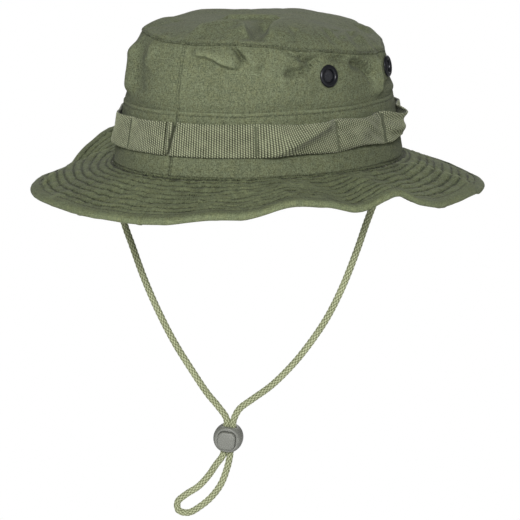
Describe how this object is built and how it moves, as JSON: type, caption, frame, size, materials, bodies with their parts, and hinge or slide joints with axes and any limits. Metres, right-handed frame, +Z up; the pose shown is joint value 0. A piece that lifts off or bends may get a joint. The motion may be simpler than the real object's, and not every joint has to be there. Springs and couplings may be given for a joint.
{
  "type": "boonie hat",
  "caption": "Soft wide-brimmed boonie hat with a webbing loop band, screened vent eyelets, a stitched wavy brim and a chin cord with a spring cord lock.",
  "frame": {"origin": "centre of the head opening, on the plane of the brim seam, where a head holds the hat", "axes": "+Z up out of the top of the hat, -Y towards its front seam, +X and -X towards its ears"},
  "size_m": [0.2754, 0.3114, 0.3273],
  "materials": {
    "olive_cloth": "matte woven cotton",
    "olive_lining": "matte woven cotton",
    "webbing": "coarse ribbed webbing",
    "thread": "close satin stitching",
    "black_enamel": "glossy black enamel",
    "black_screen": "black wire screen",
    "stiffener": "plain interlining",
    "olive_cord": "round braid",
    "lock_plastic": "satin moulded plastic",
    "spring_steel": "bare spring wire"
  },
  "bodies": {
    "hat": {"crown_tip": "olive_cloth", "crown_wall_left": "olive_cloth", "crown_wall_right": "olive_cloth", "crown_band_left": "olive_cloth", "crown_band_right": "olive_cloth", "brim_upper_left": "olive_cloth", "brim_upper_right": "olive_cloth", "brim_binding": "olive_cloth", "brim_lower_left": "olive_lining", "brim_lower_right": "olive_lining", "sweatband": "olive_lining", "tip_seam_tape": "olive_lining", "cord_tab_left": "olive_lining", "cord_tab_right": "olive_lining", "brim_stiffener_left": "stiffener", "brim_stiffener_right": "stiffener", "webbing_band": "webbing", "webbing_tack_01": "thread", "webbing_tack_02": "thread", "webbing_tack_03": "thread", "webbing_tack_04": "thread", "webbing_tack_05": "thread", "webbing_tack_06": "thread", "webbing_tack_07": "thread", "webbing_tack_08": "thread", "webbing_tack_09": "thread", "webbing_tack_10": "thread", "webbing_tack_11": "thread", "webbing_tack_12": "thread", "eyelet_shell_right_front": "black_enamel", "eyelet_washer_right_front": "black_enamel", "eyelet_screen_right_front": "black_screen", "eyelet_shell_right_rear": "black_enamel", "eyelet_washer_right_rear": "black_enamel", "eyelet_screen_right_rear": "black_screen", "eyelet_shell_left_front": "black_enamel", "eyelet_washer_left_front": "black_enamel", "eyelet_screen_left_front": "black_screen", "eyelet_shell_left_rear": "black_enamel", "eyelet_washer_left_rear": "black_enamel", "eyelet_screen_left_rear": "black_screen", "chin_cord": "olive_cord"},
    "lock": {"lock_body": "lock_plastic", "lock_spring": "spring_steel"},
    "plunger": {"lock_plunger": "lock_plastic"}
  },
  "joints": [
    {"name": "lock_slide", "type": "slide", "parent": "hat", "child": "lock", "axis": [0.0931, 0.0475, 0.9945], "range_m": [-0.03, 0.06], "deforming": ["chin_cord"]},
    {"name": "plunger_press", "type": "slide", "parent": "lock", "child": "plunger", "axis": [-0.454, 0.891, 0], "range_m": [0, 0.0028], "stiffness_N_per_m": 800, "springref_m": -0.003, "deforming": ["lock_spring"]}
  ]
}
